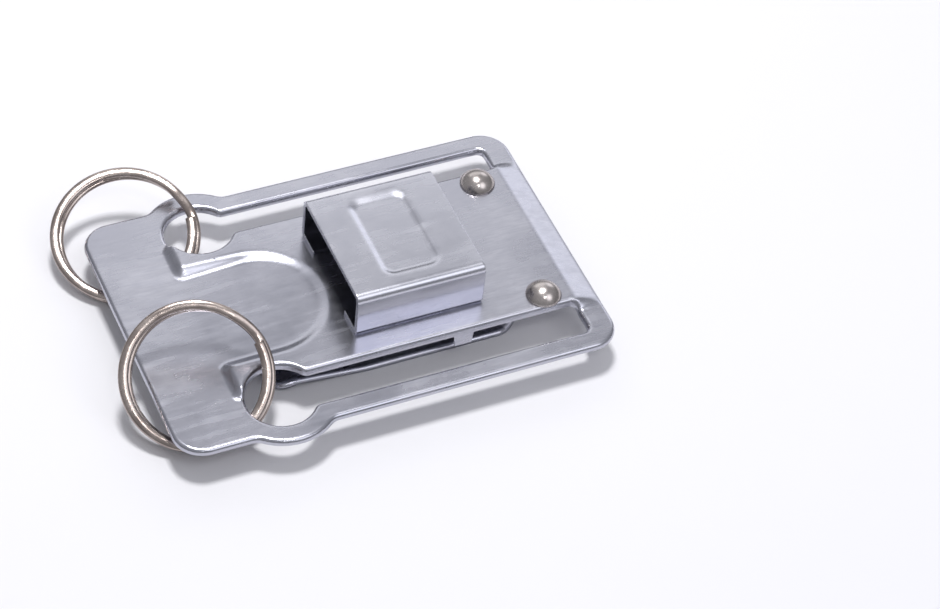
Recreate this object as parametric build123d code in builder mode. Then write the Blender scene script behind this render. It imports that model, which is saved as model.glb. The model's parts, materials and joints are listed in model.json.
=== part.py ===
from build123d import *
import os
from math import cos, pi, sin

# Belt-worn key holder: a pressed sheet plate with a riveted belt spring behind it,
# a folded bridge on its tongue and a split ring through each keyhole.
# X runs from the ring end (-X) to the riveted end (+X), Z = 0 is the flat back of the spring.

# plate outline
plate_length = 84.0
plate_width = 57.0
corner_radius = 5.5
sheet = 1.0
frame_top = 7.2
frame_bottom = frame_top - sheet

# raised tongue between the two long slots
tongue_rise = 1.4
tongue_top = frame_top + tongue_rise
tongue_half_width = 18.0
land_start = 13.0
land_half_width = tongue_half_width + tongue_rise + 0.2
land_corner = 3.0
land_end_margin = 6.0
slope_root = 60.0
end_slope_start = 78.6
end_slope_end = 83.2

# thumb recess that runs into the tongue from the ring end
thumb_radius = 10.8
thumb_centre = 24.8

# keyholes, slots and the turned-down lip round them
keyhole_x = 20.8
keyhole_y = 21.0
keyhole_radius = 6.3
ear_radius = 10.3
slot_inner = tongue_half_width
slot_outer = 24.5
slot_end = 79.0
slot_corner = 1.2
lip_width = 0.9
lip_depth = 1.45
lug_start = 55.4
lug_length = 3.2
lug_bottom = 2.7

# bridge folded from strip, standing on the tongue
bridge_start = 37.9
bridge_length = 24.6
bridge_half_width = 13.2
bridge_height = 9.3
bridge_sheet = 0.9
bridge_bend = 1.3
foot_width = 5.6
panel_length = 11.4
panel_width = 19.0
panel_depth = 0.7
panel_corner = 1.8

# rivets
rivet_x = 73.8
rivet_y = 15.0
rivet_head_radius = 3.3
rivet_head_height = 2.3
rivet_shank_radius = 1.5
rivet_tail_radius = 2.0
rivet_tail_height = 0.8

# belt spring under the tongue
spring_sheet = 0.8
spring_half_width = 14.8
spring_end = 77.6
spring_shoulder = 70.0
spring_heel = 65.6
spring_flat_start = 40.0
spring_grip = 26.6
spring_grip_rise = 1.4
spring_tip = 21.8
spring_tip_rise = 0.5
hinge_clearance = 0.06

# split rings: two flat turns of one wire joined by a short jog
ring_radius = 13.7
wire_width = 2.0
wire_thickness = 1.0
wire_corner = 0.35
turn_pitch = 1.1
jog_angle = 30
front_ring_centre = (8.14, -13.28, 1.71)
front_ring_normal = (-0.18, -0.545, 0.819)
front_ring_jog = 10
rear_ring_centre = (8.37, 25.49, -1.24)
rear_ring_normal = (-0.169, -0.312, 0.935)
rear_ring_jog = 357


def along(distance):
    """X of a point that lies this far from the plate's ring end."""
    return distance - plate_length / 2


os.makedirs("parts", exist_ok=True)

# ---- front plate ---------------------------------------------------------

with BuildSketch() as outline:
    RectangleRounded(plate_length, plate_width, corner_radius)
    with Locations((along(keyhole_x), keyhole_y), (along(keyhole_x), -keyhole_y)):
        Circle(ear_radius)

with BuildSketch() as openings:
    slot_length = slot_end - keyhole_x
    for side in (1, -1):
        with Locations((along(keyhole_x), side * keyhole_y)):
            Circle(keyhole_radius)
        with Locations((along(keyhole_x) + slot_length / 2, side * (slot_inner + slot_outer) / 2)):
            Rectangle(slot_length, slot_outer - slot_inner)
    slot_corners = openings.vertices().filter_by_position(Axis.X, along(slot_end) - 0.1, along(slot_end) + 0.1)
    fillet(slot_corners, slot_corner)

with BuildSketch() as land:
    land_length = end_slope_end - land_start - land_end_margin
    with Locations((along(land_start) + land_length / 2, 0)):
        RectangleRounded(land_length, 2 * land_half_width, land_corner)
    with Locations((along(thumb_centre), 0)):
        Circle(thumb_radius, mode=Mode.SUBTRACT)
    with Locations((along(thumb_centre / 2), 0)):
        Rectangle(thumb_centre, 2 * thumb_radius, mode=Mode.SUBTRACT)

with BuildSketch() as lip_band:
    add(openings.sketch)
    offset(amount=lip_width)
    add(openings.sketch, mode=Mode.SUBTRACT)


def slope_block(base_z):
    """The raised land and its long end slope, standing on base_z."""
    with BuildPart() as block:
        with BuildSketch(Plane.XY.offset(base_z)):
            add(land.sketch)
        extrude(amount=tongue_rise, taper=45)
        with BuildSketch(Plane.XY.offset(base_z)):
            with Locations((along((end_slope_end + slope_root) / 2), 0)):
                Rectangle(end_slope_end - slope_root, 2 * land_half_width + 2)
        with BuildSketch(Plane.XY.offset(base_z + tongue_rise)):
            with Locations((along((end_slope_start + slope_root) / 2), 0)):
                Rectangle(end_slope_start - slope_root, 2 * tongue_half_width + 0.4)
        loft()
    return block.part


with BuildPart() as front_plate:
    with BuildSketch(Plane.XY.offset(frame_bottom)):
        add(outline.sketch)
    extrude(amount=sheet)
    add(slope_block(frame_top))
    add(slope_block(frame_bottom), mode=Mode.SUBTRACT)
    with BuildSketch(Plane.XY.offset(frame_top - lip_depth)):
        add(lip_band.sketch)
    extrude(amount=lip_depth - sheet / 2)
    with BuildSketch(Plane.XY.offset(frame_top - lip_depth)):
        add(openings.sketch)
    extrude(amount=2 * lip_depth + tongue_rise, mode=Mode.SUBTRACT)
    with BuildSketch(Plane.XY.offset(frame_top - lip_depth + sheet)):
        add(lip_band.sketch)
        with Locations((along(land_start) + plate_length / 2, 0)):
            Rectangle(plate_length, 2 * slot_inner, mode=Mode.INTERSECT)
    extrude(amount=tongue_rise)
    with Locations((along(rivet_x), rivet_y, tongue_top), (along(rivet_x), -rivet_y, tongue_top)):
        Hole(rivet_shank_radius, depth=sheet + 0.5)
    for side in (1, -1):
        lug_y = side * (slot_inner - lip_width / 2)
        lug_height = tongue_top - sheet / 2 - (frame_top - lug_bottom)
        with Locations((along(lug_start + lug_length / 2), lug_y, frame_top - lug_bottom)):
            Box(lug_length, lip_width, lug_height, align=(Align.CENTER, Align.CENTER, Align.MIN))
front_plate.part.label = "front_plate"
export_step(front_plate.part, "parts/front_plate.step")

# ---- bridge --------------------------------------------------------------

bridge_plane = Plane(origin=(along(bridge_start), 0, tongue_top), x_dir=(0, 1, 0), z_dir=(1, 0, 0))
bridge_top = tongue_top + bridge_height

with BuildPart() as bridge:
    with BuildSketch(bridge_plane):
        with Locations((0, bridge_height / 2)):
            RectangleRounded(2 * bridge_half_width, bridge_height, bridge_bend)
            inside_width = 2 * (bridge_half_width - bridge_sheet)
            inside_height = bridge_height - 2 * bridge_sheet
            RectangleRounded(inside_width, inside_height, bridge_bend - bridge_sheet, mode=Mode.SUBTRACT)
        with Locations((0, bridge_sheet / 2)):
            Rectangle(2 * (bridge_half_width - foot_width), 2 * bridge_sheet, mode=Mode.SUBTRACT)
    extrude(amount=bridge_length)
    for panel_z, panel_mode in ((bridge_top - bridge_sheet, Mode.ADD), (bridge_top, Mode.SUBTRACT)):
        panel_centre = (along(bridge_start + bridge_length / 2), 0, panel_z)
        with BuildSketch(Plane(origin=panel_centre, x_dir=(1, 0, 0), z_dir=(0, 0, -1))):
            RectangleRounded(panel_length, panel_width, panel_corner)
        extrude(amount=panel_depth, taper=40, mode=panel_mode)
bridge.part.label = "bridge"
export_step(bridge.part, "parts/bridge.step")

# ---- rivets --------------------------------------------------------------

root_top = tongue_top - sheet
root_bottom = root_top - spring_sheet

with BuildPart() as rivets:
    for side in (1, -1):
        rivet_plane = Plane(origin=(along(rivet_x), side * rivet_y, 0), x_dir=(1, 0, 0), z_dir=(0, -1, 0))
        with BuildSketch(rivet_plane):
            with BuildLine():
                tail_bottom = root_bottom - rivet_tail_height
                head_rim = (rivet_head_radius, tongue_top)
                head_crown = (0, tongue_top + rivet_head_height)
                Polyline(head_crown, (0, tail_bottom), (rivet_tail_radius - 0.4, tail_bottom))
                Line((rivet_tail_radius - 0.4, tail_bottom), (rivet_tail_radius, root_bottom))
                Polyline((rivet_tail_radius, root_bottom), (rivet_shank_radius, root_bottom),
                         (rivet_shank_radius, tongue_top), head_rim)
                TangentArc(head_crown, head_rim, tangent=(1, 0))
            make_face()
        revolve(axis=Axis((along(rivet_x), side * rivet_y, 0), (0, 0, 1)))
rivets.part.label = "rivets"
export_step(rivets.part, "parts/rivets.step")

# ---- belt spring ---------------------------------------------------------

middle = spring_sheet / 2
side_plane = Plane(origin=(0, 0, 0), x_dir=(1, 0, 0), z_dir=(0, -1, 0))


def spring_strip(points, bend, rounding):
    """A strip of spring steel that follows these side-view points, as wide as the spring."""
    with BuildPart() as strip:
        with BuildSketch(side_plane):
            with BuildLine() as path:
                Polyline(*points)
                fillet(path.vertices().sort_by(Axis.X)[1:-1], bend)
            trace(line_width=spring_sheet)
        extrude(amount=spring_half_width, both=True)
        start, end = points[0][0], points[-1][0]
        with BuildSketch():
            with Locations(((start + end) / 2, 0)):
                RectangleRounded(abs(end - start) + spring_sheet, 2 * spring_half_width, rounding)
        extrude(amount=tongue_top, mode=Mode.INTERSECT)
    return strip.part


heel_gap = spring_sheet + hinge_clearance
root_points = [
    (along(spring_heel + heel_gap), middle),
    (along(spring_heel + 1.6), middle),
    (along(spring_shoulder), root_top - middle),
    (along(spring_end), root_top - middle),
]
blade_points = [
    (along(spring_tip), middle + spring_tip_rise),
    (along(spring_grip), middle + spring_grip_rise),
    (along(spring_flat_start), middle),
    (along(spring_heel), middle),
]

with BuildPart() as spring_root:
    add(spring_strip(root_points, 0.7, 0.3))
    with Locations((along(rivet_x), rivet_y, root_top), (along(rivet_x), -rivet_y, root_top)):
        Hole(rivet_shank_radius, depth=spring_sheet + 0.5)
spring_root.part.label = "spring_root"
export_step(spring_root.part, "parts/spring_root.step")

with BuildPart() as spring_blade:
    add(spring_strip(blade_points, 3.0, 0.3))
spring_blade.part.label = "spring_blade"
export_step(spring_blade.part, "parts/spring_blade.step")

# ---- split rings ---------------------------------------------------------

turn_radius = ring_radius - wire_width / 2


def split_ring(ring_plane, jog_start):
    """Two turns of flat wire round ring_plane, joined by a jog that begins at jog_start degrees."""

    def wire_section(angle, height):
        turn = angle * pi / 180
        radial = ring_plane.x_dir * cos(turn) + ring_plane.y_dir * sin(turn)
        tangent = ring_plane.y_dir * cos(turn) - ring_plane.x_dir * sin(turn)
        middle_point = ring_plane.origin + radial * turn_radius + ring_plane.z_dir * height
        return Plane(origin=middle_point, x_dir=radial, z_dir=tangent)

    spin_axis = Axis(ring_plane.origin, ring_plane.z_dir)
    jog_end = jog_start + jog_angle
    with BuildPart() as ring:
        for turn_start, height in ((jog_end, -turn_pitch / 2), (jog_end, turn_pitch / 2)):
            with BuildSketch(wire_section(turn_start, height)):
                RectangleRounded(wire_width, wire_thickness, wire_corner)
            revolve(axis=spin_axis, revolution_arc=360 - jog_angle)
        with BuildSketch(wire_section(jog_start, -turn_pitch / 2)) as jog_low:
            RectangleRounded(wire_width, wire_thickness, wire_corner)
        with BuildSketch(wire_section(jog_start + jog_angle / 2, 0)) as jog_middle:
            RectangleRounded(wire_width, wire_thickness, wire_corner)
        with BuildSketch(wire_section(jog_end, turn_pitch / 2)) as jog_high:
            RectangleRounded(wire_width, wire_thickness, wire_corner)
        loft(sections=[jog_low.sketch, jog_middle.sketch, jog_high.sketch])
    return ring.part


def ring_plane(centre, normal):
    x, y, z = centre
    return Plane(origin=(along(x), y, frame_top + z), x_dir=(1, 0, -normal[0] / normal[2]), z_dir=normal)


split_ring_front = split_ring(ring_plane(front_ring_centre, front_ring_normal), front_ring_jog)
split_ring_front.label = "split_ring_front"
export_step(split_ring_front, "parts/split_ring_front.step")

split_ring_rear = split_ring(ring_plane(rear_ring_centre, rear_ring_normal), rear_ring_jog)
split_ring_rear.label = "split_ring_rear"
export_step(split_ring_rear, "parts/split_ring_rear.step")
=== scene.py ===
import json
import math
import bmesh
import bpy
from mathutils import Matrix, Vector


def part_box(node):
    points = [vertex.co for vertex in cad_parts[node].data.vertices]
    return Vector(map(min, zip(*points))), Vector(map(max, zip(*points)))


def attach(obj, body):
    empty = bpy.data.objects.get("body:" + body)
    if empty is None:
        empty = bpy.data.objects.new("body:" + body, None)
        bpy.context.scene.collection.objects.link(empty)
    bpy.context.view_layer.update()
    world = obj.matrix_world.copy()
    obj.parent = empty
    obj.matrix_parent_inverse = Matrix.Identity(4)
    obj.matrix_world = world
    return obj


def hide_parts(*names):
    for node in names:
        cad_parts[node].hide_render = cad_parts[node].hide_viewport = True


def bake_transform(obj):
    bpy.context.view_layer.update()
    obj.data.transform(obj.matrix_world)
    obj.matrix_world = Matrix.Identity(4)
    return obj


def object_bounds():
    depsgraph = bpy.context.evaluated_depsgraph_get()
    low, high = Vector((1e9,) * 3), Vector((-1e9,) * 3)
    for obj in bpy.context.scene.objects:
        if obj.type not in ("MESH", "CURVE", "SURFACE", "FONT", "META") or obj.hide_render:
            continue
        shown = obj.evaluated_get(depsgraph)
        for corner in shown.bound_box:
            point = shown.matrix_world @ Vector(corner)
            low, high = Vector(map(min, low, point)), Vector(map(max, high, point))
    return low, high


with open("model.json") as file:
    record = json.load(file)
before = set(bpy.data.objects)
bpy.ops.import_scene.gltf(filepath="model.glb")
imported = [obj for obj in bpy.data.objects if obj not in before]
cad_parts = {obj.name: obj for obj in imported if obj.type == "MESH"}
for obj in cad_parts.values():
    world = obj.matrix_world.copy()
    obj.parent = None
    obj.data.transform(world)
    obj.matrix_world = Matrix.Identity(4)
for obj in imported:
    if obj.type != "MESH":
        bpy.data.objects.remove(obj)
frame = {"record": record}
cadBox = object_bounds()
record = frame["record"]
mm = 0.001
mergeDistance = 0.002 * mm
springSheet = 0.8 * mm  # the rivets go through it too

plateLow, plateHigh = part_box("front_plate")
bridgeLow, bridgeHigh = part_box("bridge")
rivetLow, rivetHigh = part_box("rivets")
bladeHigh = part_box("spring_blade")[1]
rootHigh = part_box("spring_root")[1]
mounts = {mount["name"]: mount for mount in record["mounts"]}
print("frame loaded")


def smoothStep(value):
    value = min(max(value, 0.0), 1.0)
    return value * value * (3 - 2 * value)


def arcPoints(centreX, centreY, radius, startDegrees, endDegrees, steps):
    points = []
    for i in range(steps + 1):
        angle = math.radians(startDegrees + (endDegrees - startDegrees) * i / steps)
        points.append((centreX + radius * math.cos(angle), centreY + radius * math.sin(angle)))
    return points


def addLoop(bm, points):
    verts = [bm.verts.new((x, y, 0)) for x, y in points]
    for i, vert in enumerate(verts):
        bm.edges.new((vert, verts[(i + 1) % len(verts)]))
    return verts


def addChain(bm, verts):
    return [bm.edges.new((first, second)) for first, second in zip(verts, verts[1:])]


def vertsOf(geom):
    return [item for item in geom if isinstance(item, bmesh.types.BMVert)]


# extrude an open chain of edges along this move, in equal steps
def sweepChain(bm, chain, move, steps):
    for i in range(steps):
        grown = bmesh.ops.extrude_edge_only(bm, edges=chain)["geom"]
        bmesh.ops.translate(bm, vec=[part / steps for part in move], verts=vertsOf(grown))
        chain = [item for item in grown if isinstance(item, bmesh.types.BMEdge)]


# turn the whole sheet over if these faces look down
def turnUp(bm, faces):
    if sum(face.normal.z for face in faces) < 0:
        bmesh.ops.reverse_faces(bm, faces=bm.faces)


def makeObject(bm, name):
    for face in bm.faces:
        face.smooth = True
    mesh = bpy.data.meshes.new(name)
    bm.to_mesh(mesh)
    bm.free()
    piece = bpy.data.objects.new(name, mesh)
    bpy.context.scene.collection.objects.link(piece)
    return piece


def addSheetModifiers(piece, thickness, bevelWidth):
    shell = piece.modifiers.new("thickness", "SOLIDIFY")
    shell.thickness = thickness
    shell.offset = -1
    shell.use_even_offset = True
    edge = piece.modifiers.new("edge", "BEVEL")
    edge.width = bevelWidth
    edge.segments = 3
    edge.limit_method = "ANGLE"
    edge.angle_limit = math.radians(50)
    normals = piece.modifiers.new("normals", "WEIGHTED_NORMAL")
    normals.keep_sharp = True


# the sheet is a flat outline with holes, cut into a fine grid, then pressed to its relief
plate = {
    "cornerRadius": 5.5 * mm,
    "keyholeFromEnd": 20.8 * mm,
    "keyholeOut": 21.0 * mm,
    "keyholeRadius": 6.3 * mm,
    "earRadius": 10.3 * mm,
    "earFillet": 3.0 * mm,
    "width": 57.0 * mm,
    "slotInner": 18.0 * mm,
    "slotOuter": 24.5 * mm,
    "slotEndFromEnd": 79.0 * mm,
    "slotCorner": 1.4 * mm,
    "slotFillet": 1.6 * mm,
    "rise": 1.4 * mm,
    "landFromEnd": 12.8 * mm,
    "landHalfWidth": 19.7 * mm,
    "slopeWidth": 2.0 * mm,
    "thumbRadius": 10.6 * mm,
    "thumbFromEnd": 24.8 * mm,
    "thumbClimb": 0.78,
    "endSlopeFrom": 78.4 * mm,
    "endSlopeTo": 83.4 * mm,
    "endBend": 0.3,
    "rollRadius": 0.8 * mm,
    "lipDepth": 1.45 * mm,
    "rimDepth": 1.1 * mm,
    "lugFrom": 55.4 * mm,
    "lugTo": 58.6 * mm,
    "lugDepth": 2.7 * mm,
    "sheet": 0.7 * mm,
    "gridStep": 0.55 * mm,
    "slack": 0.01 * mm,
    "lipSlack": 0.05 * mm,
    "edgeBevel": 0.12 * mm,
    "flatNormal": 0.9,
    "rollSteps": 5,
    "cornerSteps": 12,
    "filletSteps": 8,
    "earSteps": 36,
    "keyholeSteps": 48,
    "slotFilletSteps": 6,
    "slotCornerSteps": 8,
}
endX = plateLow.x
armTop = plateHigh.z - plate["rise"]


# how far along from the keyhole the ear's fillets are centred, and their bearing
def earFillet():
    p = plate
    rise = p["width"] / 2 + p["earFillet"] - p["keyholeOut"]
    run = math.sqrt((p["earRadius"] + p["earFillet"]) ** 2 - rise ** 2)
    return run, math.degrees(math.atan2(rise, run))


def plateOutline(inset):
    p = plate
    halfWidth = p["width"] / 2
    earX = endX + p["keyholeFromEnd"]
    fillet = p["earFillet"]
    filletY = halfWidth + fillet
    run, lean = earFillet()
    farX = plateHigh.x
    corner = p["cornerRadius"]
    cornerY = halfWidth - corner
    upper = arcPoints(farX - corner, cornerY, corner - inset, 0, 90, p["cornerSteps"])
    upper += arcPoints(earX + run, filletY, fillet + inset, 270, 180 + lean, p["filletSteps"])
    upper += arcPoints(earX, p["keyholeOut"], p["earRadius"] - inset, lean, 180 - lean, p["earSteps"])[1:]
    upper += arcPoints(earX - run, filletY, fillet + inset, -lean, -90, p["filletSteps"])[1:]
    upper += arcPoints(endX + corner, cornerY, corner - inset, 90, 180, p["cornerSteps"])
    lower = [(x, -y) for x, y in reversed(upper)]
    return upper + lower


# centre and bearings of the two corners where a keyhole meets its slot
def openingFillets():
    p = plate
    holeX, holeY = endX + p["keyholeFromEnd"], p["keyholeOut"]
    reach = p["keyholeRadius"] + p["slotFillet"]
    corners = []
    for side, lineY in ((1, p["slotOuter"]), (-1, p["slotInner"])):
        rise = lineY + side * p["slotFillet"] - holeY
        run = math.sqrt(reach ** 2 - rise ** 2)
        lean = math.degrees(math.atan2(abs(rise), run))
        bearings = (180 + lean, 270) if side > 0 else (90, 180 - lean)
        corners.append(((holeX + run, holeY + rise), *bearings))
    return corners


# a keyhole that runs on into its slot, grown into the sheet by this much
def openingOutline(side, grow):
    p = plate
    slotX = endX + p["slotEndFromEnd"]
    corner = p["slotCorner"]
    fillet = p["slotFillet"]
    (outCentre, outLean, outFlat), (inCentre, inFlat, inLean) = openingFillets()
    points = arcPoints(endX + p["keyholeFromEnd"], p["keyholeOut"], p["keyholeRadius"] + grow,
                       outLean - 180, inLean + 180, p["keyholeSteps"])
    points += arcPoints(*inCentre, fillet - grow, inLean, inFlat, p["slotFilletSteps"])[1:]
    points += arcPoints(slotX - corner, p["slotInner"] + corner, corner + grow, -90, 0, p["slotCornerSteps"])
    points += arcPoints(slotX - corner, p["slotOuter"] - corner, corner + grow, 0, 90, p["slotCornerSteps"])
    points += arcPoints(*outCentre, fillet - grow, outFlat, outLean, p["slotFilletSteps"])[:-1]
    return [(x, side * y) for x, y in points]


# whether the point lies between these two bearings, as seen from the centre
def inSector(x, y, centre, first, last):
    bearing = math.degrees(math.atan2(y - centre[1], x - centre[0])) % 360
    return first <= bearing <= last


# distance from a point of the sheet to the nearest keyhole or slot
def openingDistance(x, y):
    p = plate
    y = abs(y)
    for centre, first, last in openingFillets():
        reach = math.hypot(x - centre[0], y - centre[1])
        if reach < p["slotFillet"] + p["slack"] and inSector(x, y, centre, first, last):
            return p["slotFillet"] - reach
    hole = math.hypot(x - endX - p["keyholeFromEnd"], y - p["keyholeOut"]) - p["keyholeRadius"]
    slotLow = endX + p["keyholeFromEnd"]
    slotHigh = endX + p["slotEndFromEnd"]
    corner = p["slotCorner"]
    dx = abs(x - (slotLow + slotHigh) / 2) - (slotHigh - slotLow) / 2 + corner
    dy = abs(y - (p["slotInner"] + p["slotOuter"]) / 2) - (p["slotOuter"] - p["slotInner"]) / 2 + corner
    slot = math.hypot(max(dx, 0), max(dy, 0)) + min(max(dx, dy), 0) - corner
    return min(hole, slot)


# distance from a point of the sheet in to its outer edge
def outlineDistance(x, y):
    p = plate
    y = abs(y)
    corner = p["cornerRadius"]
    centreX = (endX + plateHigh.x) / 2
    dx = abs(x - centreX) - (plateHigh.x - endX) / 2 + corner
    dy = y - p["width"] / 2 + corner
    body = corner - math.hypot(max(dx, 0), max(dy, 0)) - min(max(dx, dy), 0)
    earX = endX + p["keyholeFromEnd"]
    run, lean = earFillet()
    filletY = p["width"] / 2 + p["earFillet"]
    for side, first, last in ((1, 180 + lean, 270), (-1, 270, 360 - lean)):
        reach = math.hypot(x - earX - side * run, y - filletY) - p["earFillet"]
        if reach < 2 * p["rollRadius"] and inSector(x, y, (earX + side * run, filletY), first, last):
            return reach
    return max(body, p["earRadius"] - math.hypot(x - earX, y - p["keyholeOut"]))


# height of the pressed relief above the arms
def pressedHeight(x, y):
    p = plate
    along = x - endX
    soft = p["slopeWidth"]
    start = smoothStep((along - p["landFromEnd"]) / soft)
    side = smoothStep((p["landHalfWidth"] - abs(y)) / soft)
    if along < p["thumbFromEnd"]:
        fromThumb = abs(y) - p["thumbRadius"]
    else:
        fromThumb = math.hypot(along - p["thumbFromEnd"], y) - p["thumbRadius"]
    # the recess floor climbs from the pad to just under the tongue at its round end
    climb = (along - p["landFromEnd"]) / (p["thumbFromEnd"] + p["thumbRadius"] - p["landFromEnd"])
    floor = p["thumbClimb"] * min(max(climb, 0), 1)
    thumb = floor + (1 - floor) * smoothStep(fromThumb / soft)
    slope = min(max((along - p["endSlopeFrom"]) / (p["endSlopeTo"] - p["endSlopeFrom"]), 0), 1)
    # the end slope leaves the tongue in a short soft bend, then runs straight
    bend = p["endBend"]
    straight = slope - bend / 2 if slope > bend else slope ** 2 / (2 * bend)
    end = 1 - straight / (1 - bend / 2)
    return p["rise"] * start * side * thumb * end


# how far a rolled edge has turned down, this far from the edge
def rolledDrop(distance, radius):
    if distance >= radius:
        return 0.0
    inner = max(radius - max(distance, 0.0), 0.0)
    return radius - math.sqrt(max(radius ** 2 - inner ** 2, 0.0))


# extrude a closed loop of verts through each outline in turn
def growRim(bm, verts, outlines):
    for points in outlines:
        loop = [bm.edges.get((vert, verts[i - 1])) for i, vert in enumerate(verts)]
        made = set(bmesh.ops.extrude_edge_only(bm, edges=loop)["geom"])
        row = []
        for vert, (x, y) in zip(verts, points):
            fresh = next(edge.other_vert(vert) for edge in vert.link_edges if edge.other_vert(vert) in made)
            fresh.co = (x, y, 0)
            row.append(fresh)
        verts = row


def cutGrid(bm, low, high, direction, extra=()):
    step = plate["gridStep"]
    places = [low + step * i for i in range(1, int((high - low) / step) + 1)]
    for place in places + list(extra):
        bmesh.ops.bisect_plane(bm, geom=bm.verts[:] + bm.edges[:] + bm.faces[:], dist=mergeDistance,
                               plane_co=Vector(direction) * place, plane_no=direction)


def buildPlate():
    p = plate
    radius = p["rollRadius"]
    steps = p["rollSteps"]
    insets = [radius * (1 - math.sin(math.radians(90 * i / steps))) for i in range(steps + 1)]
    outlines = [
        [plateOutline(inset) for inset in insets],
        [openingOutline(1, inset) for inset in insets],
        [openingOutline(-1, inset) for inset in insets],
    ]
    bm = bmesh.new()
    loops = [addLoop(bm, rows[0]) for rows in outlines]
    bmesh.ops.triangle_fill(bm, edges=bm.edges[:], use_beauty=True, normal=(0, 0, 1))
    for loop, rows in zip(loops, outlines):
        growRim(bm, loop, rows[1:])
    cutGrid(bm, plateLow.x, plateHigh.x, (1, 0, 0), (endX + p["lugFrom"], endX + p["lugTo"]))
    cutGrid(bm, plateLow.y, plateHigh.y, (0, 1, 0))
    print("plate grid", len(bm.faces))
    foot = {}
    for vert in bm.verts:
        x, y = vert.co.x, vert.co.y
        toOpening = openingDistance(x, y)
        toOutline = outlineDistance(x, y)
        surface = armTop + pressedHeight(x, y)
        foot[vert] = surface - (p["lipDepth"] if toOpening < toOutline else p["rimDepth"])
        vert.co.z = surface - max(rolledDrop(toOpening, radius), rolledDrop(toOutline, radius))
    bmesh.ops.recalc_face_normals(bm, faces=bm.faces)
    turnUp(bm, bm.faces)
    rimEdges = [edge for edge in bm.edges if edge.is_boundary]
    made = set(bmesh.ops.extrude_edge_only(bm, edges=rimEdges)["geom"])
    lugMiddle = endX + (p["lugFrom"] + p["lugTo"]) / 2
    lugHalf = (p["lugTo"] - p["lugFrom"]) / 2 + p["slack"]
    for vert in vertsOf(made):
        above = next(edge.other_vert(vert) for edge in vert.link_edges if edge.other_vert(vert) not in made)
        vert.co.z = foot[above]
        onTongue = abs(abs(vert.co.y) - p["slotInner"]) < p["lipSlack"]
        if onTongue and abs(vert.co.x - lugMiddle) < lugHalf:
            vert.co.z = armTop - p["lugDepth"]
    bmesh.ops.recalc_face_normals(bm, faces=bm.faces)
    turnUp(bm, [face for face in bm.faces if abs(face.normal.z) > p["flatNormal"]])
    piece = makeObject(bm, "pressed_plate")
    addSheetModifiers(piece, p["sheet"], p["edgeBevel"])
    return piece


platePiece = buildPlate()
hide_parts("front_plate")
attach(platePiece, "plate")
print("plate built")


bridge = {
    "sheet": 0.9 * mm,
    "bend": 1.5 * mm,
    "footBend": 1.0 * mm,
    "foot": 5.6 * mm,
    "step": 0.45 * mm,
    "panelLength": 9.6 * mm,
    "panelWidth": 17.4 * mm,
    "panelCorner": 1.6 * mm,
    "panelDepth": 0.38 * mm,
    "panelSlope": 1.1 * mm,
    "panelFarSlope": 2.3 * mm,
    "topBand": 1.2,
    "slack": 0.01 * mm,
    "edgeBevel": 0.13 * mm,
    "wallShares": (0.3, 0.5, 0.7),
    "footSteps": 8,
    "bendSteps": 10,
}


# the dish starts softly, widest on its far side, and ends in a crisp line round its floor
def panelDrop(x, y):
    b = bridge
    corner = b["panelCorner"]
    dx = abs(x - (bridgeLow.x + bridgeHigh.x) / 2) - b["panelLength"] / 2 + corner
    dy = abs(y) - b["panelWidth"] / 2 + corner
    reach = math.hypot(max(dx, 0), max(dy, 0))
    outside = reach + min(max(dx, dy), 0) - corner
    far = max(dy, 0) / reach if y > 0 and reach > 0 else 0
    slope = b["panelSlope"] + (b["panelFarSlope"] - b["panelSlope"]) * far
    return b["panelDepth"] * min(max(1 - outside / slope, 0), 1) ** 2


def buildBridge():
    b = bridge
    half = bridgeHigh.y
    low, high = bridgeLow.z, bridgeHigh.z
    bend, footBend = b["bend"], b["footBend"]
    right = [(half - b["foot"], low)]
    right += arcPoints(half - footBend, low + footBend, footBend, -90, 0, b["footSteps"])
    right += [(half, low + (high - low) * share) for share in b["wallShares"]]
    right += arcPoints(half - bend, high - bend, bend, 0, 90, b["bendSteps"])
    topRun = half - bend
    topSteps = round(topRun / b["step"])
    right += [(topRun * (1 - i / topSteps), high) for i in range(1, topSteps)]
    profile = right + [(0, high)] + [(-y, z) for y, z in reversed(right)]
    bm = bmesh.new()
    verts = [bm.verts.new((bridgeLow.x, y, z)) for y, z in profile]
    length = bridgeHigh.x - bridgeLow.x
    sweepChain(bm, addChain(bm, verts), (length, 0, 0), round(length / b["step"]))
    for vert in bm.verts:
        if vert.co.z > high - b["slack"]:
            vert.co.z -= panelDrop(vert.co.x, vert.co.y)
    bmesh.ops.recalc_face_normals(bm, faces=bm.faces)
    topFrom = high - b["panelDepth"] * b["topBand"]
    turnUp(bm, [face for face in bm.faces if face.calc_center_median().z > topFrom])
    piece = makeObject(bm, "folded_bridge")
    addSheetModifiers(piece, b["sheet"], b["edgeBevel"])
    return piece


bridgePiece = buildBridge()
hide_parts("bridge")
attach(bridgePiece, "plate")
print("bridge built")


rivet = {
    "headRadius": 3.3 * mm,
    "rimHeight": 0.28 * mm,
    "rimRadius": 0.12 * mm,
    "shankRadius": 1.5 * mm,
    "tailRadius": 2.0 * mm,
    "tailBevel": 0.4 * mm,
    "tailSideEnd": 0.5 * mm,
    "fromPlateEnd": 73.8 * mm,
    "out": 15.0 * mm,
    "headSteps": 16,
    "rimSteps": 4,
    "tailSteps": 6,
    "spinSteps": 64,
}


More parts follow.
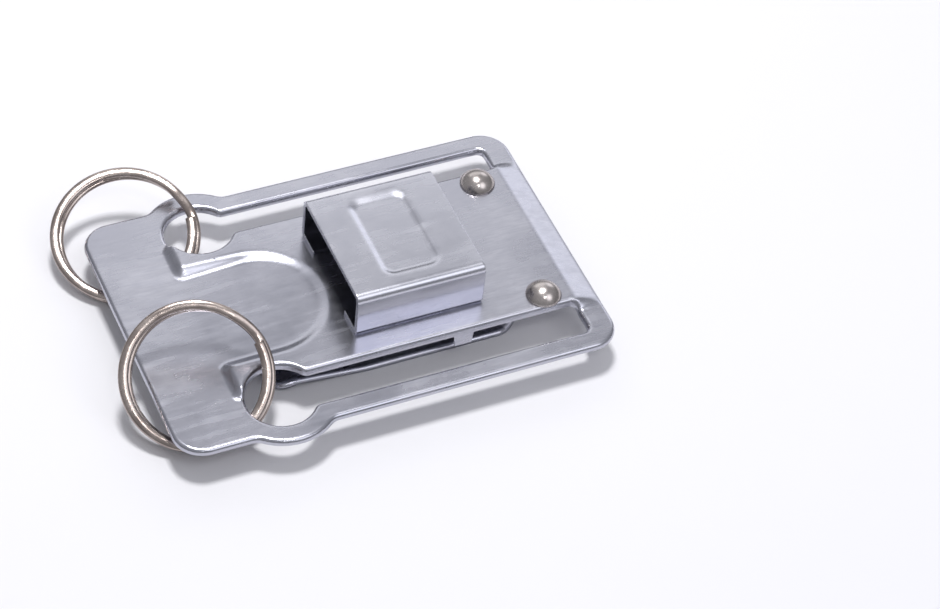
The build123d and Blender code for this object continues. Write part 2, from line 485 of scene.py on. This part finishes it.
def buildRivets():
    r = rivet
    tongueTop = plateHigh.z
    rise = rivetHigh.z - tongueTop
    capHeight = rise - r["rimHeight"]
    capRadius = (r["headRadius"] ** 2 + capHeight ** 2) / (2 * capHeight)
    capCentre = rivetHigh.z - capRadius
    edgeAngle = math.degrees(math.asin(min(r["headRadius"] / capRadius, 1)))
    rim, tail = r["rimRadius"], r["tailBevel"]
    springUnder = rootHigh.z - springSheet
    profile = arcPoints(0, capCentre, capRadius, 90, 90 - edgeAngle, r["headSteps"])
    profile += arcPoints(r["headRadius"] - rim, tongueTop + rim, rim, 0, -90, r["rimSteps"])
    profile += [(r["shankRadius"], tongueTop), (r["shankRadius"], springUnder)]
    profile += [(r["tailRadius"], springUnder), (r["tailRadius"], rivetLow.z + r["tailSideEnd"])]
    profile += arcPoints(r["tailRadius"] - tail, rivetLow.z + tail, tail, 0, -90, r["tailSteps"])
    profile += [(0, rivetLow.z)]
    bm = bmesh.new()
    verts = [bm.verts.new((max(x, 0), 0, z)) for x, z in profile]
    bmesh.ops.spin(bm, geom=verts + addChain(bm, verts), cent=(0, 0, 0), axis=(0, 0, 1), angle=math.tau,
                   steps=r["spinSteps"], use_merge=True)
    bmesh.ops.remove_doubles(bm, verts=bm.verts, dist=mergeDistance)
    bmesh.ops.recalc_face_normals(bm, faces=bm.faces)
    bmesh.ops.translate(bm, vec=(endX + r["fromPlateEnd"], r["out"], 0), verts=bm.verts)
    second = bmesh.ops.duplicate(bm, geom=bm.verts[:] + bm.edges[:] + bm.faces[:])["geom"]
    bmesh.ops.translate(bm, vec=(0, -2 * r["out"], 0), verts=vertsOf(second))
    return makeObject(bm, "dome_rivets")


rivetPiece = buildRivets()
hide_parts("rivets")
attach(rivetPiece, "plate")
print("rivets built")


# one strip from the riveted root, round the heel and out to the flared tip
spring = {
    "sheet": springSheet,
    "heelFromEnd": 65.6 * mm,
    "heelFlat": 1.2 * mm,
    "shoulderFromEnd": 70.0 * mm,
    "rootFromEnd": 77.9 * mm,
    "flatFromEnd": 40.0 * mm,
    "gripFromEnd": 26.6 * mm,
    "tipFromEnd": 21.6 * mm,
    "gripRise": 1.4 * mm,
    "tipRise": 0.5 * mm,
    "bend": 1.5 * mm,
    "longBend": 7.0 * mm,
    "tipCorner": 3.5 * mm,
    "rowStep": 0.7 * mm,
    "bendSteps": 10,
    "crossSteps": 24,
}


# a side-view path whose inner corners are arcs of these radii
def roundedPath(points, bends, steps):
    path = [points[0]]
    for before, corner, after, bend in zip(points, points[1:], points[2:], bends):
        inward = (Vector(before) - Vector(corner)).normalized()
        outward = (Vector(after) - Vector(corner)).normalized()
        half = inward.angle(outward) / 2
        run = bend / math.tan(half)
        centre = Vector(corner) + (inward + outward).normalized() * bend / math.sin(half)
        start = Vector(corner) + inward * run - centre
        finish = Vector(corner) + outward * run - centre
        turn = math.atan2(start.x * finish.y - start.y * finish.x, start.dot(finish))
        for i in range(steps + 1):
            angle = turn * i / steps
            path.append((centre.x + start.x * math.cos(angle) - start.y * math.sin(angle),
                         centre.y + start.x * math.sin(angle) + start.y * math.cos(angle)))
    return path + [points[-1]]


def buildSpring():
    s = spring
    under = rootHigh.z
    top = s["sheet"]
    corners = [
        (endX + s["tipFromEnd"], top + s["tipRise"]),
        (endX + s["gripFromEnd"], top + s["gripRise"]),
        (endX + s["flatFromEnd"], top),
        (endX + s["heelFromEnd"] + s["heelFlat"], top),
        (endX + s["shoulderFromEnd"], under),
        (endX + s["rootFromEnd"], under),
    ]
    path = roundedPath(corners, (2 * s["bend"], s["longBend"], s["bend"], s["bend"]), s["bendSteps"])
    halfWidth = bladeHigh.y
    bm = bmesh.new()
    rows = []
    for (x0, z0), (x1, z1) in zip(path, path[1:]):
        pieces = max(1, round(math.hypot(x1 - x0, z1 - z0) / s["rowStep"]))
        rows += [(x0 + (x1 - x0) * i / pieces, z0 + (z1 - z0) * i / pieces) for i in range(pieces)]
    rows.append(path[-1])
    verts = [bm.verts.new((x, -halfWidth, z)) for x, z in rows]
    sweepChain(bm, addChain(bm, verts), (0, 2 * halfWidth, 0), s["crossSteps"])
    radius = s["tipCorner"]
    for vert in bm.verts:
        inset = radius - (vert.co.x - endX - s["tipFromEnd"])
        if inset > 0:
            narrowed = halfWidth - radius + math.sqrt(max(radius ** 2 - inset ** 2, 0))
            vert.co.y *= narrowed / halfWidth
    bmesh.ops.recalc_face_normals(bm, faces=bm.faces)
    turnUp(bm, bm.faces)
    bmesh.ops.solidify(bm, geom=bm.faces[:], thickness=s["sheet"])
    bmesh.ops.recalc_face_normals(bm, faces=bm.faces)
    return makeObject(bm, "belt_spring")


springPiece = buildSpring()
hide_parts("spring_root", "spring_blade")
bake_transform(springPiece)
print("spring built")


ring = {
    "radius": 13.7 * mm,
    "wireWidth": 1.85 * mm,
    "shear": 0.3 * mm,
    "shearBearing": 151,
    "wireThickness": 1.06 * mm,
    "pitch": 1.07 * mm,
    "jog": 28,
    "endGap": 4,
    "step": 3,
    "sectionPoints": 24,
    "acrossPower": 0.88,
    "upPower": 0.75,
    "endBevel": 0.1 * mm,
    "frontJog": 10,
    "rearJog": 357,
}


# two turns of half-round wire about the ring eye's mount, with the jog between them
def buildRing(name, eye, jogStart):
    r = ring
    radius = r["radius"] - r["wireWidth"] / 2 - r["shear"]
    lean = math.radians(r["shearBearing"])
    bm = bmesh.new()
    section = []
    halfWidth, halfThick = r["wireWidth"] / 2, r["wireThickness"] / 2
    count = r["sectionPoints"]
    for i in range(count):
        angle = math.tau * i / count
        # a rounded bar, a little fuller than an ellipse
        across = math.copysign(abs(math.cos(angle)) ** r["acrossPower"], math.cos(angle)) * halfWidth
        up = math.copysign(abs(math.sin(angle)) ** r["upPower"], math.sin(angle)) * halfThick
        section.append((across, up))
    total = 720 - r["jog"] - 2 * r["endGap"]
    stations = round(total / r["step"])
    rings = []
    for k in range(stations + 1):
        degrees = total * k / stations
        angle = math.radians(jogStart + r["jog"] + r["endGap"] + degrees)
        shift = smoothStep((degrees + r["endGap"] - (360 - r["jog"])) / r["jog"]) - 0.5
        offX = 2 * shift * r["shear"] * math.cos(lean)
        offY = 2 * shift * r["shear"] * math.sin(lean)
        rings.append([bm.verts.new((offX + (radius + across) * math.cos(angle),
                                    offY + (radius + across) * math.sin(angle),
                                    up + shift * r["pitch"])) for across, up in section])
    loops = []
    for verts in rings:
        loops.append([bm.edges.new((verts[i], verts[(i + 1) % count])) for i in range(count)])
    for first, second in zip(loops, loops[1:]):
        bmesh.ops.bridge_loops(bm, edges=first + second)
    ends = [bm.faces.new(rings[0]), bm.faces.new(rings[-1])]
    bmesh.ops.recalc_face_normals(bm, faces=bm.faces)
    bmesh.ops.bevel(bm, geom=[edge for face in ends for edge in face.edges], offset=r["endBevel"],
                    segments=2, profile=0.5, affect="EDGES", material=-1)
    normal = Vector(eye["axis"]).normalized()
    side = Vector((1, 0, -normal.x / normal.z)).normalized()
    turn = Matrix((side, normal.cross(side), normal)).transposed().to_4x4()
    bmesh.ops.transform(bm, matrix=Matrix.Translation(eye["pos_m"]) @ turn, verts=bm.verts)
    return makeObject(bm, name)


frontRing = buildRing("front_key_ring", mounts["front_ring_eye"], ring["frontJog"])
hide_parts("split_ring_front")
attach(frontRing, "front_ring")
rearRing = buildRing("rear_key_ring", mounts["rear_ring_eye"], ring["rearJog"])
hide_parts("split_ring_rear")
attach(rearRing, "rear_ring")
print("rings built")


def newMaterial(name):
    material = bpy.data.materials.new(name)
    material.use_nodes = True
    tree = material.node_tree
    return material, tree, tree.nodes["Principled BSDF"]


def addNoise(tree, mapping, scale, detail, roughness, distortion=0.0):
    noise = tree.nodes.new("ShaderNodeTexNoise")
    noise.inputs["Scale"].default_value = scale
    noise.inputs["Detail"].default_value = detail
    noise.inputs["Roughness"].default_value = roughness
    noise.inputs["Distortion"].default_value = distortion
    tree.links.new(mapping.outputs["Vector"], noise.inputs["Vector"])
    return noise


def addMapping(tree, stretch):
    place = tree.nodes.new("ShaderNodeTexCoord")
    mapping = tree.nodes.new("ShaderNodeMapping")
    mapping.inputs["Scale"].default_value = stretch
    tree.links.new(place.outputs["Object"], mapping.inputs["Vector"])
    return mapping


def addRange(tree, source, fromLow, fromHigh, toLow, toHigh):
    span = tree.nodes.new("ShaderNodeMapRange")
    span.inputs["From Min"].default_value = fromLow
    span.inputs["From Max"].default_value = fromHigh
    span.inputs["To Min"].default_value = toLow
    span.inputs["To Max"].default_value = toHigh
    tree.links.new(source, span.inputs["Value"])
    return span.outputs["Result"]


def addMix(tree, factor, first, second):
    mix = tree.nodes.new("ShaderNodeMix")
    mix.data_type = "RGBA"
    for socket, value in ((mix.inputs[6], first), (mix.inputs[7], second)):
        if isinstance(value, tuple):
            socket.default_value = (*value, 1)
        else:
            tree.links.new(value, socket)
    tree.links.new(factor, mix.inputs[0])
    return mix.outputs[2]


# shared by every finish; a noise gives its detail, roughness and distortion
plating = {
    "grain": (6, 0.6),
    "cloud": (4, 0.55, 0.4),
    "speck": (3, 0.7),
    "scratch": (2, 0.5),
    "wave": (1, 0.4),
    "grainRange": (0.35, 0.65),
    "cloudRange": (0.3, 0.7),
    "speckRange": (0.62, 0.75),
    "scratchRange": (0.45, 0.8),
    "scratchRough": 0.06,
    "rubbedRough": 0.09,
    "rubbedFade": 0.4 * mm,
    "grainDepth": 0.02 * mm,
    "rippleDepth": 0.2 * mm,
}


# plated sheet: rolling grain, cloudy plating, fine scratches and a faint press ripple
def platedSteel(name, look):
    material, tree, shader = newMaterial(name)
    grainMap = addMapping(tree, look["grainStretch"])
    evenMap = addMapping(tree, (1, 1, 1))
    grain = addNoise(tree, grainMap, look["grainScale"], *plating["grain"])
    cloud = addNoise(tree, evenMap, look["cloudScale"], *plating["cloud"])
    speck = addNoise(tree, evenMap, look["speckScale"], *plating["speck"])
    scratchMap = addMapping(tree, look["scratchStretch"])
    scratch = addNoise(tree, scratchMap, look["scratchScale"], *plating["scratch"])
    wave = addNoise(tree, addMapping(tree, look["waveStretch"]), look["waveScale"], *plating["wave"])
    scratchMask = addRange(tree, scratch.outputs["Fac"], *plating["scratchRange"], 0, 1)
    cloudMask = addRange(tree, cloud.outputs["Fac"], *plating["cloudRange"], 0, 1)
    base = addMix(tree, cloudMask, look["dark"], look["light"])
    grainMask = addRange(tree, grain.outputs["Fac"], *plating["grainRange"], 0, look["grainTint"])
    base = addMix(tree, grainMask, base, look["dark"])
    speckMask = addRange(tree, speck.outputs["Fac"], *plating["speckRange"], 0, look["speckTint"])
    base = addMix(tree, speckMask, base, look["speck"])
    tree.links.new(base, shader.inputs["Base Color"])
    shader.inputs["Metallic"].default_value = 1
    rough = addRange(tree, cloud.outputs["Fac"], *plating["cloudRange"], *look["roughness"])
    roughSum = tree.nodes.new("ShaderNodeMath")
    roughSum.operation = "MULTIPLY_ADD"
    tree.links.new(scratchMask, roughSum.inputs[0])
    roughSum.inputs[1].default_value = plating["scratchRough"]
    tree.links.new(rough, roughSum.inputs[2])
    rubbed = tree.nodes.new("ShaderNodeMath")
    rubbed.operation = "ADD"
    height = tree.nodes.new("ShaderNodeSeparateXYZ")
    tree.links.new(evenMap.outputs["Vector"], height.inputs["Vector"])
    rubbedFrom = look["rubbedAbove"] - plating["rubbedFade"]
    top = addRange(tree, height.outputs["Z"], rubbedFrom, look["rubbedAbove"], 0, plating["rubbedRough"])
    tree.links.new(roughSum.outputs[0], rubbed.inputs[0])
    tree.links.new(top, rubbed.inputs[1])
    tree.links.new(rubbed.outputs[0], shader.inputs["Roughness"])
    fine = tree.nodes.new("ShaderNodeBump")
    fine.inputs["Strength"].default_value = look["grainBump"]
    fine.inputs["Distance"].default_value = plating["grainDepth"]
    tree.links.new(grain.outputs["Fac"], fine.inputs["Height"])
    ripple = tree.nodes.new("ShaderNodeBump")
    ripple.inputs["Strength"].default_value = look["rippleBump"]
    ripple.inputs["Distance"].default_value = plating["rippleDepth"]
    tree.links.new(wave.outputs["Fac"], ripple.inputs["Height"])
    tree.links.new(fine.outputs["Normal"], ripple.inputs["Normal"])
    tree.links.new(ripple.outputs["Normal"], shader.inputs["Normal"])
    return material


plateLook = {
    "dark": (0.47, 0.475, 0.54),
    "light": (0.58, 0.58, 0.64),
    "speck": (0.40, 0.40, 0.46),
    "speckTint": 0.35,
    "grainTint": 0.7,
    "grainStretch": (0.16, 1.0, 1.0),
    "grainScale": 2300,
    "grainBump": 0.16,
    "cloudScale": 55,
    "rippleBump": 0.35,
    "waveStretch": (0.6, 1.0, 1.0),
    "waveScale": 60,
    "speckScale": 900,
    "scratchStretch": (0.15, 1.0, 1.0),
    "scratchScale": 700,
    "roughness": (0.20, 0.30),
    "rubbedAbove": 1.0,  # metres, so above everything: only the bridge top is rubbed
}
bridgeLook = dict(
    plateLook,
    light=(0.64, 0.64, 0.70),
    dark=(0.55, 0.555, 0.62),
    roughness=(0.13, 0.21),
    cloudScale=90,
    rippleBump=0.3,
    waveStretch=(0.35, 1.0, 1.0),
    waveScale=130,
    rubbedAbove=bridgeHigh.z - 0.8 * mm,
)
springLook = dict(plateLook, light=(0.55, 0.55, 0.61), roughness=(0.22, 0.34), grainStretch=(1.0, 0.15, 1.0))
ringLook = {
    "dark": (0.36, 0.30, 0.275),
    "light": (0.57, 0.50, 0.465),
    "speck": (0.22, 0.17, 0.15),
    "speckTint": 0.5,
    "grainTint": 0.2,
    "grainStretch": (1.0, 1.0, 1.0),
    "grainScale": 1500,
    "grainBump": 0.15,
    "cloudScale": 260,
    "rippleBump": 0.3,
    "waveStretch": (1.0, 1.0, 1.0),
    "waveScale": 400,
    "speckScale": 1300,
    "scratchStretch": (1.0, 1.0, 0.3),
    "scratchScale": 900,
    "roughness": (0.16, 0.28),
    "rubbedAbove": 1.0,
}
rivetLook = dict(
    ringLook,
    dark=(0.52, 0.47, 0.45),
    light=(0.68, 0.63, 0.61),
    roughness=(0.20, 0.28),
    speckTint=0.3,
)

for piece, name, look in (
    (platePiece, "zincPlate", plateLook),
    (bridgePiece, "zincBridge", bridgeLook),
    (springPiece, "zincSpring", springLook),
    (rivetPiece, "nickelRivet", rivetLook),
):
    piece.data.materials.append(platedSteel(name, look))
ringFinish = platedSteel("nickelRing", ringLook)
frontRing.data.materials.append(ringFinish)
rearRing.data.materials.append(ringFinish)
print("finishes set")


studio = {
    "floorSize": 3.0,
    "floorColour": (0.80, 0.795, 0.825),
    "floorGap": 0.02 * mm,
    "floorGlow": 0.02,
    "floorRough": 0.8,
    "floorSheen": 0.1,
    "paperNoise": (60, 5, 0.6),
    "paperShade": 0.99,
    "worldColour": (0.94, 0.95, 1.0),
    "worldLow": 0.20,
    "worldHigh": 0.47,
    "worldSpan": (-0.1, 1.0),
    # panels painted on the world: azimuth, elevation, full and fading half-angles, strength
    "panels": (
        (133, 24, 6, 18, 1.25),
        (30, 50, 7, 20, 1.7),
    ),
    # lamps: name, azimuth and elevation, distance, width, height, power
    "lamps": (
        ("backBox", (168, 35), 0.38, 0.28, 0.18, 0.11),
        ("topLamp", (180, 81), 0.75, 0.13, 0.13, 3.9),
        ("frontLamp", (-5, 60), 0.9, 0.09, 0.09, 0.4),
    ),
}


def buildFloor():
    bm = bmesh.new()
    bmesh.ops.create_grid(bm, x_segments=1, y_segments=1, size=studio["floorSize"] / 2)
    bmesh.ops.translate(bm, vec=(0, 0, cadBox[0][2] - studio["floorGap"]), verts=bm.verts)
    floor = makeObject(bm, "floor")
    material, tree, shader = newMaterial("paperFloor")
    paper = addNoise(tree, addMapping(tree, (1, 1, 1)), *studio["paperNoise"])
    shaded = tuple(channel * studio["paperShade"] for channel in studio["floorColour"])
    colour = addMix(tree, paper.outputs["Fac"], shaded, studio["floorColour"])
    tree.links.new(colour, shader.inputs["Base Color"])
    shader.inputs["Roughness"].default_value = studio["floorRough"]
    shader.inputs["Specular IOR Level"].default_value = studio["floorSheen"]
    # the camera sees the paper as white, with the object's shadow left in it
    glow = tree.nodes.new("ShaderNodeEmission")
    glow.inputs["Color"].default_value = (1, 1, 1, 1)
    lightPath = tree.nodes.new("ShaderNodeLightPath")
    seen = tree.nodes.new("ShaderNodeMath")
    seen.operation = "MULTIPLY"
    tree.links.new(lightPath.outputs["Is Camera Ray"], seen.inputs[0])
    seen.inputs[1].default_value = studio["floorGlow"]
    tree.links.new(seen.outputs[0], glow.inputs["Strength"])
    both = tree.nodes.new("ShaderNodeAddShader")
    tree.links.new(shader.outputs[0], both.inputs[0])
    tree.links.new(glow.outputs[0], both.inputs[1])
    tree.links.new(both.outputs[0], tree.nodes["Material Output"].inputs["Surface"])
    floor.data.materials.append(material)


def addSoftBox(name, direction, distance, width, height, power):
    light = bpy.data.lights.new(name, "AREA")
    light.shape = "RECTANGLE"
    light.size = width
    light.size_y = height
    light.energy = power
    lamp = bpy.data.objects.new(name, light)
    bpy.context.scene.collection.objects.link(lamp)
    offset = skyDirection(*direction) * distance
    lamp.location = offset
    lamp.rotation_euler = offset.to_track_quat("Z", "Y").to_euler()


def skyDirection(azimuth, elevation):
    azimuth, elevation = math.radians(azimuth), math.radians(elevation)
    return Vector((math.sin(azimuth) * math.cos(elevation), -math.cos(azimuth) * math.cos(elevation),
                   math.sin(elevation)))


def buildWorld():
    world = bpy.data.worlds.new("studio")
    bpy.context.scene.world = world
    world.use_nodes = True
    tree = world.node_tree
    background = tree.nodes["Background"]
    place = tree.nodes.new("ShaderNodeTexCoord")
    split = tree.nodes.new("ShaderNodeSeparateXYZ")
    tree.links.new(place.outputs["Generated"], split.inputs["Vector"])
    level = addRange(tree, split.outputs["Z"], *studio["worldSpan"], studio["worldLow"], studio["worldHigh"])
    for azimuth, elevation, full, fade, strength in studio["panels"]:
        facing = tree.nodes.new("ShaderNodeVectorMath")
        facing.operation = "DOT_PRODUCT"
        tree.links.new(place.outputs["Generated"], facing.inputs[0])
        facing.inputs[1].default_value = skyDirection(azimuth, elevation)
        panel = addRange(tree, facing.outputs["Value"], math.cos(math.radians(fade)),
                         math.cos(math.radians(full)), 0, strength)
        total = tree.nodes.new("ShaderNodeMath")
        total.operation = "ADD"
        tree.links.new(level, total.inputs[0])
        tree.links.new(panel, total.inputs[1])
        level = total.outputs[0]
    background.inputs["Color"].default_value = (*studio["worldColour"], 1)
    tree.links.new(level, background.inputs["Strength"])


buildFloor()
buildWorld()
for lampPlace in studio["lamps"]:
    addSoftBox(*lampPlace)
print("stage set")

cameraPlace = {
    "aim": (18.8 * mm, -11.8 * mm, 7.2 * mm),
    "azimuth": -28.7,
    "elevation": 47.0,
    "distance": 527.9 * mm,
    "roll": 7.1,
    "lens": 112.14,
    "sensor": 36,
    "clipStart": 0.01,
}


def buildCamera():
    c = cameraPlace
    back = skyDirection(c["azimuth"], c["elevation"])
    lens = bpy.data.cameras.new("camera")
    lens.lens = c["lens"]
    lens.sensor_width = c["sensor"]
    camera = bpy.data.objects.new("camera", lens)
    bpy.context.scene.collection.objects.link(camera)
    camera.location = Vector(c["aim"]) + back * c["distance"]
    level = back.to_track_quat("Z", "Y")
    camera.rotation_euler = (level.to_matrix() @ Matrix.Rotation(math.radians(c["roll"]), 3, "Z")).to_euler()
    bpy.context.scene.camera = camera
    lens.clip_start = c["clipStart"]


buildCamera()
bpy.context.scene.view_settings.view_transform = "Standard"

print("done")
